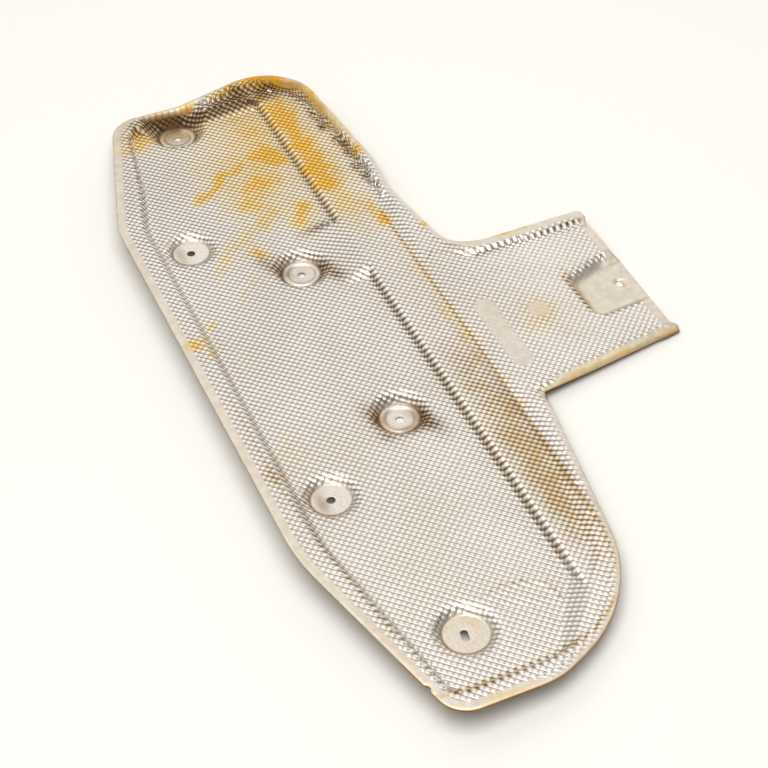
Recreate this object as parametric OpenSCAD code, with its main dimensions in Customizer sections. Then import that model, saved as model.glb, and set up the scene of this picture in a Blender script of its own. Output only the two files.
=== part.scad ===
// Heat shield pressed from one embossed sheet: a sunk panel with round screw pads,
// a raised strip, flanges on all sides, a side tab with a sunk seat, and a hem folded
// under the whole edge. It lies on its deep pads and on the end of the tab's seat.
//
// Origin: centre of the hole in the deep middle pad, on the pad's underside.
// +Y runs along the length of the sheet, +X towards the tab, +Z up off the floor.
// All heights below are those of the underside, before the sheet is leaned over.

/* [Sheet] */
// Distance from the hole in the middle pad up to the top edge.
top_edge = 402; // [398:1:408]
// Distance from the same hole down to the bottom edge.
bottom_edge = 255.7; // [252.7:0.5:259.7]
// Distance from the same hole out to the left edge.
left_edge = 118; // [115:0.5:121]
// Distance from the same hole out to the end of the tab.
tab_end = 209.5; // [204.5:0.5:214.5]
// Distance from the same hole out to the wall between the panel and the strip.
strip_wall = 41.8; // [39.8:0.2:43.8]
// Thickness of the sheet.
gauge = 1; // [0.8:0.1:1.2]
// Height of the flanges and of the strip above the panel.
blank_rise = 6; // [5:0.5:7]
// Plan width of the sloped wall round the panel.
wall_run = 3.5; // [3:0.5:4]

/* [Hem] */
// Width of the folded edge.
hem_width = 6.2; // [5:0.2:7]
// Thickness of the layer folded under the sheet.
hem_fold = 1.2; // [0.8:0.1:1.5]

/* [Screw pads] */
// Diameter of the round screw holes.
hole_d = 6.4; // [6:0.1:7]
// Depth of the deep middle pad below the panel.
deep_pad = 7; // [6.5:0.1:7.5]
// Depth of the shallow pads below the panel.
shallow_pad = 4.6; // [4:0.1:5]
// Radius of the flat face of a shallow pad.
pad_r = 14; // [13:0.5:15]
// Width of the slotted hole.
slot_w = 5; // [4.5:0.1:5.5]
// Length of the slotted hole from end to end.
slot_l = 9.5; // [9:0.1:10]

/* [Tab seat] */
// Depth of the seat below the tab.
seat_depth = 5.5; // [5:0.1:6]

/* [Hidden] */
sheet_color = [0.80, 0.77, 0.73];

// Distances that reach past the sheet: sideways, below it and above it.
far = 450;
under_all = -30;
over_all = 60;

// Corners of the edge, each with its rounding radius.
edge = [
  [-left_edge, -100.5, 150], [-77.2, -bottom_edge, 22], [-6, -bottom_edge, 60],
  [67.7, 35 - bottom_edge, 105], [92.3, -57, 3], [97.8, -29.1, 2], [tab_end, -15.5, 1],
  [tab_end, 131, 5], [106.2, 132.5, 33], [90.5, 222, 60], [94, 262, 40], [79, top_edge, 46],
  [-79.5, top_edge + 0.5, 26], [-left_edge, 268, 60]
];

// How far the turned-down lip's nose and the end of the seat stand out past the end of the
// tab, and how far the step at the upper corner of the tab is cut back.
nose_out = 4.5;
seat_out = 3.5;
step_in = 1.7;

// The same edge with its small steps at the end of the tab: the nose of the turned-down
// lip, the end of the seat, and the step at the upper corner.
outline = concat(
  [for (i = [0 : 5]) edge[i]],
  [
    [tab_end + nose_out, -15, 3], [tab_end + nose_out, -10, 2], [tab_end, -10, 1],
    [tab_end, 23, 1], [tab_end + seat_out, 28, 3], [tab_end + seat_out, 73, 3],
    [tab_end, 78, 1], [tab_end, 113, 1], [tab_end - step_in, 114.5, 0.5],
    [tab_end - step_in, 119.5, 0.5], [tab_end, 121, 1]
  ],
  [for (i = [7 : 13]) edge[i]]
);

// Corners of the panel's wall, at the level of the flanges.
pan = [
  [17.2 - left_edge, -95, 120], [-72.3, 15.2 - bottom_edge, 14], [4, 15.2 - bottom_edge, 60],
  [strip_wall, 35.2 - bottom_edge, 24], [strip_wall, top_edge - 14.5, 14],
  [-73, top_edge - 14.5, 12], [-82, top_edge - 70, 30], [17.2 - left_edge, 262, 60]
];

// Corners of the line where the right flange starts to rise from the strip.
valley = [
  [-300, -300, 1], [-25, -300, 1], [57, -174, 25], [72, -97, 60], [77.4, -30, 80],
  [76.8, 195, 90], [80, top_edge - 162, 60], [79.6, top_edge - 102, 60],
  [77.5, top_edge - 62, 30], [64, top_edge - 13, 24],
  [-300, top_edge - 13, 1]
];

// Corners of the foot of the steep rim at the top right, puckered down its right side.
rim_foot = [
  [-60, top_edge - 222, 1], [78, top_edge - 222, 1], [80, top_edge - 190, 6],
  [82.5, top_edge - 174, 2], [80, top_edge - 162, 2], [83.5, top_edge - 148, 2],
  [81, top_edge - 134, 2], [83, top_edge - 120, 2], [79.5, top_edge - 102, 2],
  [81, top_edge - 89, 2], [78, top_edge - 75, 2], [79, top_edge - 57, 4],
  [66, top_edge - 11.5, 26], [-60, top_edge - 11.5, 1]
];
// Where the rim starts, on the right side of the sheet.
rim_start = top_edge - 196;

// Lines across that lie past the end of the tab.
past_end = tab_end + 30.5;

// Corners of the foot of the wall between the tab and the flange above it.
tab_foot = [
  [70, 60, 1], [past_end, 60, 1], [past_end, 110.5, 1], [156, 116, 1], [119.3, 119.8, 8],
  [107.4, 126, 8], [97.5, 134.2, 5], [89.5, 139.5, 5], [82, 134, 4], [70, 122, 1]
];

// Corners of the seat, at the level of the tab.
seat = [
  [tab_end - 46, 17.5, 12], [past_end, 22.5, 1], [past_end, 81, 1], [tab_end - 13.5, 79.5, 20],
  [tab_end - 46, 67, 12]
];

// Centres of the screw pads and of the hole in the seat.
shallow_pads = [[-72.6, 229.4], [-74, -53.4]];
slot_pad = [-41.2, 61.7 - bottom_edge];
deep_pads = [[0, 0], [-4.1, 173.2], [-31.7, top_edge - 22.3]];
seat_hole = [tab_end - 8.5, 50.6];

// The slotted hole lies a little off the middle of its pad and is turned.
slot_center = slot_pad - [1, 0.5];
slot_turn = -8;

// Torn nicks in the bottom edge, each with the direction it points in.
nicks = [[-84.8, 26.3 - bottom_edge, -15], [34.5, 17.2 - bottom_edge, 115]];
nick_r = 2.6;

// Levels of the underside of the panel and of the flanges.
panel_z = deep_pad;
blank_z = panel_z + blank_rise;
// The tab rises gently from its inner end to its outer end.
tab_x = 88;
tab_z = blank_z + 2.3;
tab_slope = 0.03;
// Far end of the seat, which is the part of the tab that touches the floor.
seat_end = tab_end + seat_out;
seat_z = tab_z + tab_slope * (seat_end - tab_x) - seat_depth;
// Radius of the flat bottom of a deep pad, and of the top of its wall.
deep_flat = 9.5;
deep_wall = 21.7;
// Angle at which the deep pads and the end of the seat touch the floor together.
lean = atan2(seat_z, seat_end - deep_flat);
// The middle one of the deep pads stays this far off the floor.
pad_gap = 0.4;

// Plan shift that keeps the gauge the same on a wall of this run and rise.
function shift(run, rise) = tan(atan2(rise, run) / 2);

// Unit vector from one corner to another.
function way(a, b) = let (v = [b[0] - a[0], b[1] - a[1]]) v / norm(v);

// Corner list moved inwards by d.
function inset(c, d) = [
  for (i = [0 : len(c) - 1])
    let (
      m = len(c),
      u = way(c[(i + m - 1) % m], c[i]),
      v = way(c[i], c[(i + 1) % m]),
      p = [c[i][0] - u[1] * d, c[i][1] + u[0] * d],
      q = [c[i][0] - v[1] * d, c[i][1] + v[0] * d],
      s = cross(q - p, v) / cross(u, v)
    )
    [p[0] + u[0] * s, p[1] + u[1] * s, max(0.3, c[i][2] - d * sign(cross(u, v)))]
];

// Points of the line through the rounded corners.
function rounded(c) = [
  for (i = [0 : len(c) - 1])
    let (
      m = len(c),
      u = way(c[(i + m - 1) % m], c[i]),
      v = way(c[i], c[(i + 1) % m]),
      side = sign(cross(u, v)),
      turn = acos(max(-1, min(1, u * v))),
      steps = max(2, ceil(turn / 13)),
      back = c[i][2] * tan(turn / 2),
      middle = [c[i][0], c[i][1]] - u * back + side * c[i][2] * [-u[1], u[0]],
      start = atan2(-side * u[0], side * u[1])
    )
    for (j = [0 : steps])
      let (a = start + side * turn * j / steps)
      middle + c[i][2] * [cos(a), sin(a)]
];

// Ring of the corner list moved inwards by d and lifted to z.
function ring(c, d, z) = [for (p = rounded(inset(c, d))) [p[0], p[1], z]];

// Solid that joins closed rings of points, one above the other.
module skin(rings) {
  n = len(rings[0]);
  k = len(rings);
  polyhedron(
    points = [for (r = rings) for (p = r) p],
    faces = concat(
      [[for (i = [0 : n - 1]) i]],
      [for (j = [0 : k - 2]) for (i = [0 : n - 1])
        [j * n + i, (j + 1) * n + i, (j + 1) * n + (i + 1) % n, j * n + (i + 1) % n]],
      [[for (i = [n - 1 : -1 : 0]) (k - 1) * n + i]]
    )
  );
}

// Everything under a sloped plane through p, with the surface t further out.
module under(p, slope_x, slope_y, t, reach = far) {
  z = p[2] + t * norm([1, slope_x, slope_y]);
  square4 = [[-1, -1], [1, -1], [1, 1], [-1, 1]] * reach;
  skin([
    [for (q = square4) [p[0] + q[0], p[1] + q[1], -2 * far]],
    [for (q = square4) [p[0] + q[0], p[1] + q[1], z + slope_x * q[0] + slope_y * q[1]]]
  ]);
}

// Block between two corners.
module block(a, b) {
  translate(a) cube(b - a);
}

// Moves what is drawn on a level tab onto the rising tab.
module on_tab() {
  translate([tab_x, 0, tab_z]) rotate([0, -atan(tab_slope), 0]) translate([-tab_x, 0, 0]) children();
}

// The flanges and the strip, with the panel sunk between them.
module flanges_and_panel(t) {
  k = shift(wall_run, blank_rise) * t;
  inner_end = 80;
  difference() {
    block([-far, -far, under_all], [inner_end, far, blank_z + t]);
    skin([
      ring(pan, wall_run + k, panel_z + t),
      ring(pan, k - wall_run / 2, blank_z + t + blank_rise / 2)
    ]);
  }
}

// Outside of the valley: what rises gently from the strip to the right flange.
module rising_flange(t) {
  rise = 8;
  run = 2 * rise;
  k = shift(run, rise) * t;
  difference() {
    block([-30, -far, under_all], [160, far, blank_z + t + rise - 0.5]);
    skin([
      ring(valley, k, 2 * under_all),
      ring(valley, k, blank_z + t),
      ring(valley, k - run, blank_z + t + rise)
    ]);
  }
}

// Right flange below the tab: flat at its edge, and lower towards the bottom and the tab.
module lower_flange(t) {
  intersection() {
    rising_flange(t);
    block([-30, -far, under_all], [160, 0, blank_z + 4.5 + t]);
    under([30, 0, blank_z], 0.09, 0, t);
    under([80, -25, blank_z + 2.4], 0, -0.06, t);
    under([92.3, -57, blank_z + 4.5], -0.507, -0.115, t);
  }
}

// Highest levels at the top right: a ramp at the left end, a slow rise up the right side.
module rim_levels(t) {
  intersection() {
    under([-20, 0, blank_z], 0.22, 0, t);
    under([80, 140, blank_z + 2.5], 0, 0.0325, t);
  }
}

// Right flange above the tab.
module upper_flange(t) {
  intersection() {
    rising_flange(t);
    block([-30, 130, under_all], [160, far, over_all]);
    rim_levels(t);
    under([80, 130, blank_z - 0.5], 0, 0.3, t);
  }
}

// Steep rim round the top right corner.
module rim(t) {
  rise = 12;
  run = 4.4;
  k = shift(run, rise) * t;
  intersection() {
    difference() {
      block([-50, rim_start - 1, under_all], [160, far, blank_z + t + rise - 0.5]);
      skin([
        ring(rim_foot, k, 2 * under_all),
        ring(rim_foot, k, blank_z + t),
        ring(rim_foot, k - run, blank_z + t + rise)
      ]);
    }
    rim_levels(t);
    under([80, rim_start, blank_z - 0.5], 0, 0.3, t);
  }
}

// Side tab: its root rises from the valley, and its lower edge is rounded downwards in
// three flats, each given by its distance from the edge, its drop and its slope.
module tab(t) {
  corner = edge[5];
  along = atan2(edge[6][1] - corner[1], edge[6][0] - corner[0]);
  intersection() {
    block([70, -40, under_all], [past_end, 156, over_all]);
    under([76.7, 0, blank_z], 0.45, 0, t);
    under([80.5, 0, blank_z + 1.5], 0.13, 0, t);
    under([tab_x, 0, tab_z], tab_slope, 0, t);
    for (f = [[0, 4.2, 1.1], [1.6, 2.5, 0.62], [4.2, 0.95, 0.25]])
      let (p = [corner[0] - f[0] * sin(along), corner[1] + f[0] * cos(along)])
      under([p[0], p[1], tab_z + tab_slope * (p[0] - tab_x) - f[1]],
        tab_slope - f[2] * sin(along), f[2] * cos(along), t);
  }
}

// Flange above the tab.
module tab_flange(t) {
  rise = 8;
  run = 4.85;
  k = shift(run, rise) * t;
  foot_z = tab_z + 0.3;
  intersection() {
    difference() {
      block([86, 100, under_all], [past_end - 5, 152, foot_z + t + rise - 0.5]);
      skin([
        ring(tab_foot, k, 2 * under_all),
        ring(tab_foot, k, foot_z + t),
        ring(tab_foot, k - run, foot_z + t + rise)
      ]);
    }
    under([97, 134, blank_z + 3], 0.13, -0.1, t);
    under([120, 120, blank_z + 7], 0.02, 0, t);
  }
}

// Place beside the middle deep pad where the wall of the strip is drawn out into a slope.
module drawn_out_wall(t) {
  intersection() {
    block([10, 130, under_all], [60, 225, blank_z + t]);
    under([16.5, 175, panel_z], 0.237, 0, t);
    under([30, 141, panel_z], 0, 0.7, t);
    under([30, 212, panel_z], 0, -1.5, t);
  }
}

// Space above a shallow pad.
module shallow_well(t, r) {
  run = 6;
  over = 1.2;
  k = shift(run, shallow_pad) * t;
  translate([0, 0, panel_z - shallow_pad + t])
    cylinder(h = shallow_pad * over, r1 = r - k, r2 = r + run * over - k);
}

// Space above a deep pad at height z: flat bottom, raised ring, groove and wall.
module deep_well(t, z, wall_r, top) {
  k = shift(1, 1) * t;
  rotate_extrude()
    polygon([
      [0, z + t], [deep_flat, z + t], [11, z + 0.6 + t], [12, z + 1.3 + t], [12.8, z + 1.5 + t],
      [13.5, z + 1.2 + t], [14.3, z + 0.4 + t], [15 - k, z + 0.4 + t],
      [wall_r - k, panel_z + t], [wall_r - k + top, panel_z + t + top], [0, panel_z + t + top]
    ]);
}

// Height of a deep pad that touches the floor once the sheet is leaned over.
function pad_z(p) = p[0] * tan(lean);

// Deep pad at the top edge, whose well is cut off by a steep wall beside the hem.
module top_pad_well(t) {
  p = deep_pads[2];
  wall_r = 24;
  hem_wall = 14;
  difference() {
    translate(p) deep_well(t, pad_z(p), wall_r, 8);
    under([p[0], p[1] + hem_wall, pad_z(p) + 0.4], 0, 3, t, 2.5 * wall_r);
  }
}

// Space above the seat of the tab, open at its outer end.
module seat_well(t) {
  run = 7;
  k = shift(run, seat_depth) * t;
  on_tab() skin([
    ring(seat, run + k, t - seat_depth),
    ring(seat, k - run / 2, t + seat_depth / 2)
  ]);
  translate([seat_hole[0], seat_hole[1], seat_z - 1.2 + t]) cylinder(h = 1.6, r1 = 3.6, r2 = 8);
}

// Solid that fills everything below the sheet; t lifts its surface square to itself.
module die(t) {
  difference() {
    union() {
      flanges_and_panel(t);
      lower_flange(t);
      upper_flange(t);
      rim(t);
      tab(t);
      tab_flange(t);
      drawn_out_wall(t);
    }
    for (p = shallow_pads) translate(p) shallow_well(t, pad_r);
    translate(slot_pad) shallow_well(t, pad_r + 1.5);
    translate(deep_pads[0]) deep_well(t, 0, deep_wall, 0.5);
    translate(deep_pads[1]) deep_well(t, pad_z(deep_pads[1]) + pad_gap, deep_wall, 0.5);
    top_pad_well(t);
    seat_well(t);
  }
}

// Everything inside the line of a corner list, moved inwards by d.
module inside(c, d) {
  skin([ring(c, d, under_all + 10), ring(c, d, over_all - 10)]);
}

// Plan shape of the sheet, with two torn nicks at the bottom.
module plan_shape() {
  difference() {
    inside(outline, 0);
    for (n = nicks)
      translate([n[0], n[1], under_all]) rotate([0, 0, n[2]])
        cylinder(h = over_all - under_all, r = nick_r, $fn = 3);
  }
}

// Where the sheet is a single layer: inside the hem, at the top pad and at the seat's end.
module single_layer() {
  inside(edge, hem_width);
  translate([deep_pads[2][0], deep_pads[2][1], under_all]) cylinder(h = over_all - under_all, r = 19);
  block([tab_end - 14.5, 27, under_all], [tab_end + 10.5, 74, over_all]);
}

// Smooth patches on the tab where the pattern was flattened.
module flattened() {
  bead = [[97.8, 5.5], [97.8, 67.5]];
  bead_r = 7.4;
  patch = [131.7, 46.6];
  patch_r = 8;
  sunk = 0.25;
  difference() {
    union() {
      for (p = bead) translate(p) cylinder(h = over_all, r = bead_r);
      block([bead[0][0] - bead_r, bead[0][1], 0], [bead[0][0] + bead_r, bead[1][1], over_all]);
      translate(patch) cylinder(h = over_all, r = patch_r);
    }
    under([tab_x, 0, tab_z], tab_slope, 0, gauge - sunk);
  }
}

// Holes for the screws.
module holes() {
  for (p = concat(shallow_pads, deep_pads, [seat_hole]))
    translate([p[0], p[1], under_all]) cylinder(h = over_all - under_all, d = hole_d);
  translate([slot_center[0], slot_center[1], under_all]) rotate([0, 0, slot_turn]) {
    half = (slot_l - slot_w) / 2;
    for (y = [-half, half]) translate([0, y, 0]) cylinder(h = over_all, d = slot_w);
    block([-slot_w / 2, -half, 0], [slot_w / 2, half, over_all]);
  }
}

// The whole sheet, leaned over as it lies on the floor.
module shield_sheet() {
  $fn = 40;
  color(sheet_color) rotate([0, lean, 0])
    difference() {
      intersection() {
        plan_shape();
        difference() {
          die(gauge);
          die(-hem_fold);
        }
      }
      intersection() {
        single_layer();
        die(0);
      }
      flattened();
      holes();
    }
}

shield_sheet();
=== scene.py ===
import bpy
import math
import numpy as np
from collections import Counter
from mathutils import Matrix, Vector
from mathutils.geometry import delaunay_2d_cdt


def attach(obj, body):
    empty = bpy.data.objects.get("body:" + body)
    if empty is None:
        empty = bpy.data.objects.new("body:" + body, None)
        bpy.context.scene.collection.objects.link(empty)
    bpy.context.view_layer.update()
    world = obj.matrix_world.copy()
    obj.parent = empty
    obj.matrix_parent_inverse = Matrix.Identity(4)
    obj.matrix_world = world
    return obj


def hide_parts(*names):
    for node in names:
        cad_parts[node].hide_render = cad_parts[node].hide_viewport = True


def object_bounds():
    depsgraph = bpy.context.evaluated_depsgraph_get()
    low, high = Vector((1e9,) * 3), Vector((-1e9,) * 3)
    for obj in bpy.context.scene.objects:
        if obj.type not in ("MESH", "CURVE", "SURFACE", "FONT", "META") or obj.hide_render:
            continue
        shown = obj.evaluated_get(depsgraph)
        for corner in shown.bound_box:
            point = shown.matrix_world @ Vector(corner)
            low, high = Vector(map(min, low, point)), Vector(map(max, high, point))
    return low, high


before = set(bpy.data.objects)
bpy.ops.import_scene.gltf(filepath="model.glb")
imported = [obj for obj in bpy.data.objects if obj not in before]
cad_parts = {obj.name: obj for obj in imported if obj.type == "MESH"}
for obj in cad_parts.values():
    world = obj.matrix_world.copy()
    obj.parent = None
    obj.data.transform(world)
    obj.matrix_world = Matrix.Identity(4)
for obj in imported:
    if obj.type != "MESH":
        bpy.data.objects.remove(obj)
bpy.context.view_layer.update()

# The pressed sheet: its edge, its folds and its levels.
# One aluminium sheet, 1 mm over the embossing, pressed between two dies into a sunk panel,
# a raised strip, flanges and a side tab. Sizes are in mm, before the sheet is leaned over.
GAUGE = 1.0
TOP_EDGE, BOTTOM_EDGE, LEFT_EDGE, TAB_END, STRIP_WALL = 402, 255.7, 118, 209.5, 41.8
PAST_END = TAB_END + 30.5
PANEL_Z, BLANK_RISE = 7.0, 6.0
BLANK_Z = PANEL_Z + BLANK_RISE
# Plan width of the wall round the panel, and of its gentler stretch at the left.
WALL_RUN, LEFT_WALL_RUN = 3.5, 6.5
TAB_X, TAB_Z, TAB_SLOPE = 88.0, 15.3, 0.03
SEAT_DEPTH, SEAT_END, DEEP_FLAT = 5.5, TAB_END + 3.5, 9.5
SEAT_Z = TAB_Z + TAB_SLOPE * (SEAT_END - TAB_X) - SEAT_DEPTH
LEAN = math.atan2(SEAT_Z, SEAT_END - DEEP_FLAT)
# A level that every other one covers.
BELOW_ALL = -50.0

# Corners of each line, with their rounding radii: the edge, the panel's wall, the line where
# the right flange starts to rise, the foot of the rim at the top right, the foot of the wall
# between the tab and the flange above it, and the seat.
EDGE = [
    (-LEFT_EDGE, -100.5, 150), (-77.2, -BOTTOM_EDGE, 22), (-6, -BOTTOM_EDGE, 60),
    (67.7, 35 - BOTTOM_EDGE, 105), (92.3, -57, 3), (97.8, -29.1, 2), (TAB_END, -15.5, 1),
    (TAB_END, 131, 5), (106.2, 132.5, 33), (90.5, 222, 60), (94, 262, 40), (79, TOP_EDGE, 46),
    (-79.5, TOP_EDGE + 0.5, 26), (-LEFT_EDGE, 268, 60)]
PAN = [
    (17.2 - LEFT_EDGE, -95, 120), (-72.3, 15.2 - BOTTOM_EDGE, 14), (4, 15.2 - BOTTOM_EDGE, 60),
    (STRIP_WALL, 35.2 - BOTTOM_EDGE, 24), (STRIP_WALL, TOP_EDGE - 14.5, 14),
    (-73, TOP_EDGE - 14.5, 12), (-82, TOP_EDGE - 70, 30), (17.2 - LEFT_EDGE, 262, 60)]
VALLEY = [
    (-300, -300, 1), (-25, -300, 1), (57, -174, 25), (72, -97, 60), (77.4, -30, 80),
    (76.8, 195, 90), (80, TOP_EDGE - 162, 60), (79.6, TOP_EDGE - 102, 60),
    (77.5, TOP_EDGE - 62, 30), (64, TOP_EDGE - 13, 24), (-300, TOP_EDGE - 13, 1)]
RIM_FOOT = [
    (-60, TOP_EDGE - 222, 1), (78, TOP_EDGE - 222, 1), (80, TOP_EDGE - 190, 6),
    (82.5, TOP_EDGE - 174, 2), (80, TOP_EDGE - 162, 2), (83.5, TOP_EDGE - 148, 2),
    (81, TOP_EDGE - 134, 2), (83, TOP_EDGE - 120, 2), (79.5, TOP_EDGE - 102, 2),
    (81, TOP_EDGE - 89, 2), (78, TOP_EDGE - 75, 2), (79, TOP_EDGE - 57, 4),
    (66, TOP_EDGE - 11.5, 26), (-60, TOP_EDGE - 11.5, 1)]
TAB_FOOT = [
    (70, 60, 1), (PAST_END, 60, 1), (PAST_END, 110.5, 1), (156, 116, 1), (119.3, 119.8, 8),
    (107.4, 126, 8), (97.5, 134.2, 5), (89.5, 139.5, 5), (82, 134, 4), (70, 122, 1)]
SEAT = [
    (TAB_END - 46, 17.5, 12), (PAST_END, 22.5, 1), (PAST_END, 81, 1), (TAB_END - 13.5, 79.5, 20),
    (TAB_END - 46, 67, 12)]

# Shallow pads with the radius of their flat face; the last one has the slotted hole. Deep
# pads with the radius of the top of their wall and the height of their floor.
SHALLOW_PADS = [(-72.6, 229.4, 14.0), (-74.0, -53.4, 14.0), (-41.2, -194.0, 15.5)]
SHALLOW_DEPTH, SHALLOW_RUN = 4.6, 6.0
DEEP_PADS = [
    (0.0, 0.0, 21.7, 0.0), (-4.1, 173.2, 21.7, -4.1 * math.tan(LEAN) + 0.4),
    (-31.7, 379.7, 24.0, -31.7 * math.tan(LEAN))]
# Section of a deep pad: radius and height, with the raised ring round its flat floor.
DISH_R = [0, DEEP_FLAT, 11, 12, 12.8, 13.5, 14.3, 15]
DISH_Z = [0, 0, 0.6, 1.3, 1.5, 1.2, 0.4, 0.4]
SEAT_HOLE = (TAB_END - 8.5, 50.6)
# Depth, inner and outer radius and rise of the dimple round the hole in the seat.
DIMPLE_DEPTH, DIMPLE_IN, DIMPLE_OUT, DIMPLE_RISE = 1.2, 3.6, 8.0, 1.6


def share(values):
    return np.clip(values, 0, 1)


def way(a, b):
    v = np.array([b[0] - a[0], b[1] - a[1]], float)
    return v / np.hypot(*v)


def cross(a, b):
    return a[0] * b[1] - a[1] * b[0]


def rounded(corners, step_deg=6.0, pieces=None):
    """Points along the rounded corners; pieces says how often each straight side is divided."""
    arcs = []
    for i, corner in enumerate(corners):
        u, v = way(corners[i - 1], corner), way(corner, corners[(i + 1) % len(corners)])
        side = np.sign(cross(u, v))
        turn = math.acos(max(-1.0, min(1.0, float(u @ v))))
        steps = max(2, math.ceil(math.degrees(turn) / step_deg))
        back = corner[2] * math.tan(turn / 2)
        middle = np.array(corner[:2]) - u * back + side * corner[2] * np.array([-u[1], u[0]])
        start = math.atan2(-side * u[0], side * u[1])
        angles = start + side * turn * np.arange(steps + 1) / steps
        arcs.append(middle + corner[2] * np.stack([np.cos(angles), np.sin(angles)], 1))
    if pieces is None:
        return np.concatenate(arcs)
    line = []
    for arc, after, n in zip(arcs, arcs[1:] + arcs[:1], pieces):
        line.extend(arc)
        line.extend(arc[-1] + (after[0] - arc[-1]) * k / n for k in range(1, n))
    return np.array(line)


def distance_to(p, a, b):
    """Distance of the points p from the straight piece between a and b."""
    along = np.subtract(b, a)
    t = share((p - a) @ along / (along @ along))
    return np.hypot(*(p - a - t[:, None] * along).T)


def inside_of(line, p):
    """True for the points p that a closed line runs round."""
    odd = np.zeros(len(p), bool)
    for a, b in zip(line, np.roll(line, -1, 0)):
        if a[1] != b[1]:
            hit = (a[1] > p[:, 1]) != (b[1] > p[:, 1])
            odd ^= hit & (p[:, 0] < a[0] + (p[:, 1] - a[1]) * (b[0] - a[0]) / (b[1] - a[1]))
    return odd


def depth_inside(corners, p, step_deg=6.0):
    """Distance from the line of a corner list, positive inside it."""
    line = rounded(corners, step_deg)
    nearest = np.full(len(p), 1e9)
    for a, b in zip(line, np.roll(line, -1, 0)):
        if math.dist(a, b) > 1e-6:
            nearest = np.minimum(nearest, distance_to(p, a, b))
    return np.where(inside_of(line, p), nearest, -nearest)


def low(a, b, bend=0.9):
    """Smaller of two heights, with a rounded bend where they cross."""
    h = np.clip(bend - np.abs(a - b), 0, None)
    return np.minimum(a, b) - h * h / (4 * bend)


def high(a, b, bend=0.9):
    return -low(-a, -b, bend)


def plane(p, at, slope_x, slope_y):
    return at[2] + slope_x * (p[:, 0] - at[0]) + slope_y * (p[:, 1] - at[1])


def flanges_and_panel(p):
    """The flanges and the strip, with the panel sunk between them."""
    at_left = share((-70 - p[:, 0]) / 20) * share((330 - p[:, 1]) / 20)
    run = WALL_RUN + (LEFT_WALL_RUN - WALL_RUN) * at_left
    wall = BLANK_Z - BLANK_RISE / run * depth_inside(PAN, p)
    return high(PANEL_Z, low(BLANK_Z, wall, 1.6), 1.6)


def lower_flange(p, rise):
    """Right flange below the tab: flat at its edge, lower towards the bottom and the tab."""
    z = low(rise, BLANK_Z + 4.5, 1.2)
    z = low(z, plane(p, (30, -230, BLANK_Z), 0.09, 0))
    z = low(z, plane(p, (80, -25, BLANK_Z + 2.4), 0, -0.06))
    return low(z, plane(p, (92.3, -57, BLANK_Z + 4.5), -0.507, -0.115), 2.0)


def rim_levels(p):
    """Highest levels at the top right: a ramp at the left end, a slow rise up the right side."""
    ramp = plane(p, (-20, TOP_EDGE, BLANK_Z), 0.22, 0)
    return low(ramp, plane(p, (80, 140, BLANK_Z + 2.5), 0, 0.0325), 1.5)


def tab(p):
    """Side tab: its root rises from the valley, and its lower edge is rounded downwards in
    three flats, each given by its distance from the edge, its drop and its slope."""
    z = low(plane(p, (76.7, 0, BLANK_Z), 0.45, 0), plane(p, (80.5, 0, BLANK_Z + 1.5), 0.13, 0))
    z = low(z, plane(p, (TAB_X, 0, TAB_Z), TAB_SLOPE, 0))
    (x0, y0, _), (x1, y1, _) = EDGE[5:7]
    along = math.atan2(y1 - y0, x1 - x0)
    for off, drop, slope in ((0, 4.2, 1.1), (1.6, 2.5, 0.62), (4.2, 0.95, 0.25)):
        at_x, at_y = x0 - off * math.sin(along), y0 + off * math.cos(along)
        at_z = TAB_Z + TAB_SLOPE * (at_x - TAB_X) - drop
        flat = plane(p, (at_x, at_y, at_z), TAB_SLOPE - slope * math.sin(along), slope * math.cos(along))
        z = low(z, flat, 0.6)
    return z


def tab_flange(p, depth):
    """Flange above the tab, at a depth inside the line of its foot."""
    z = low(TAB_Z + 0.3 - 0.9 * depth, plane(p, (97, 134, BLANK_Z + 3), 0.13, -0.1), 1.6)
    return low(z, plane(p, (120, 120, BLANK_Z + 7), 0.02, 0), 1.6)


def drawn_out_wall(p):
    """Place beside the upper deep pad where the wall of the strip is drawn out into a slope."""
    z = low(plane(p, (16.5, 175, PANEL_Z), 0.237, 0), plane(p, (30, 141, PANEL_Z), 0, 0.7), 2.5)
    return low(low(z, plane(p, (30, 212, PANEL_Z), 0, -1.5), 2.5), BLANK_Z, 1.0)


def with_wells(p, z):
    """The level z with the wells of the pads pressed into it."""
    for cx, cy, flat_r in SHALLOW_PADS:
        r = np.hypot(p[:, 0] - cx, p[:, 1] - cy)
        floor = PANEL_Z - SHALLOW_DEPTH
        well = high(floor + np.maximum(0, r - flat_r) * SHALLOW_DEPTH / SHALLOW_RUN, floor, 1.0)
        z = np.where(r < flat_r + 9, low(z, well, 1.5), z)
    for cx, cy, wall_r, floor in DEEP_PADS:
        r = np.hypot(p[:, 0] - cx, p[:, 1] - cy)
        foot_r, foot_z = DISH_R[-1], floor + DISH_Z[-1]
        wall = foot_z + (r - foot_r) * (PANEL_Z - foot_z) / (wall_r - foot_r)
        well = np.where(r < foot_r, floor + np.interp(r, DISH_R, DISH_Z), wall)
        if cy > 300:
            well = high(well, plane(p, (cx, cy + 14, foot_z), 0, 3.0), 1.0)
            z = np.where(r < wall_r + 9, low(z, well, 1.5), z)
        else:
            z = np.where(r < wall_r + 3, low(z, well, 1.8), z)
    return z


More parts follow.
